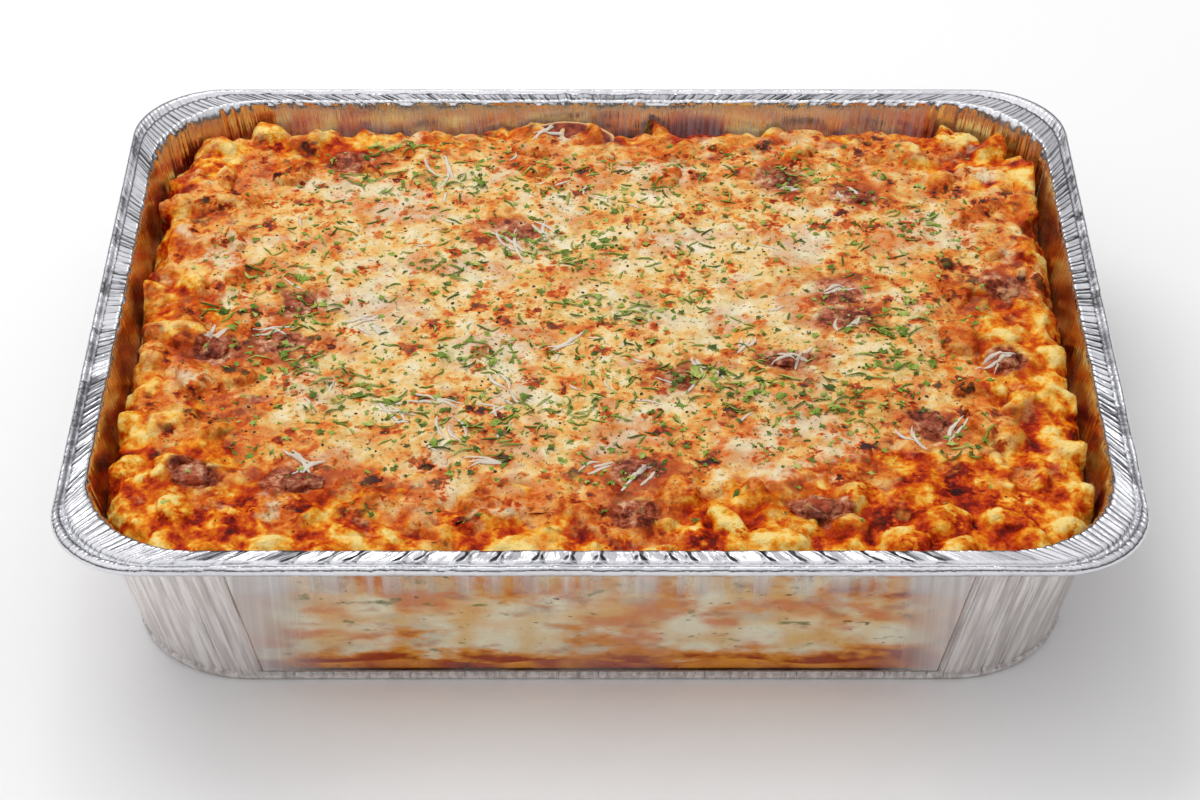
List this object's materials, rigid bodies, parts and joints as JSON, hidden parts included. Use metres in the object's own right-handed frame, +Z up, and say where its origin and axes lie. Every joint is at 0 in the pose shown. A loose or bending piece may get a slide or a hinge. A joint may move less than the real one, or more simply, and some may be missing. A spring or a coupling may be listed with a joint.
{
  "type": "foil tray meal",
  "caption": "Baked pasta meal in an oblong foil tray with a pleated rolled rim: creamy filling, melted cheese, browned meat, parsley and grated cheese.",
  "frame": {"origin": "middle of the flat underside of the tray", "axes": "+X along the longer side, +Y from the clear front panel towards the back, +Z up out of the tray"},
  "size_m": [0.324, 0.264, 0.06],
  "materials": {
    "foil": "bright crinkled foil, gathered into fine pleats at the corners",
    "window": "clear, slightly frosted panel in the front wall",
    "sauce": "orange-red oily tomato sauce",
    "filling": "cream pasta and gnocchi lumps with orange sauce, browned on top",
    "cheese": "melted cheese with golden blisters, green parsley flakes and pale grated shreds",
    "meat": "browned, rough, slightly greasy"
  },
  "bodies": {
    "root": {"foil_tray": "foil", "front_window": "window", "sauce_layer": "sauce", "pasta_filling": "filling", "melted_cheese": "cheese", "curled_slice": "meat", "meat_1": "meat", "meat_2": "meat", "meat_3": "meat", "meat_4": "meat", "meat_5": "meat", "meat_6": "meat", "meat_7": "meat", "meat_8": "meat", "meat_9": "meat", "meat_10": "meat", "meat_11": "meat", "meat_12": "meat", "meat_13": "meat", "meat_14": "meat", "meat_15": "meat", "meat_16": "meat", "meat_17": "meat", "meat_18": "meat", "meat_19": "meat"}
  },
  "joints": []
}
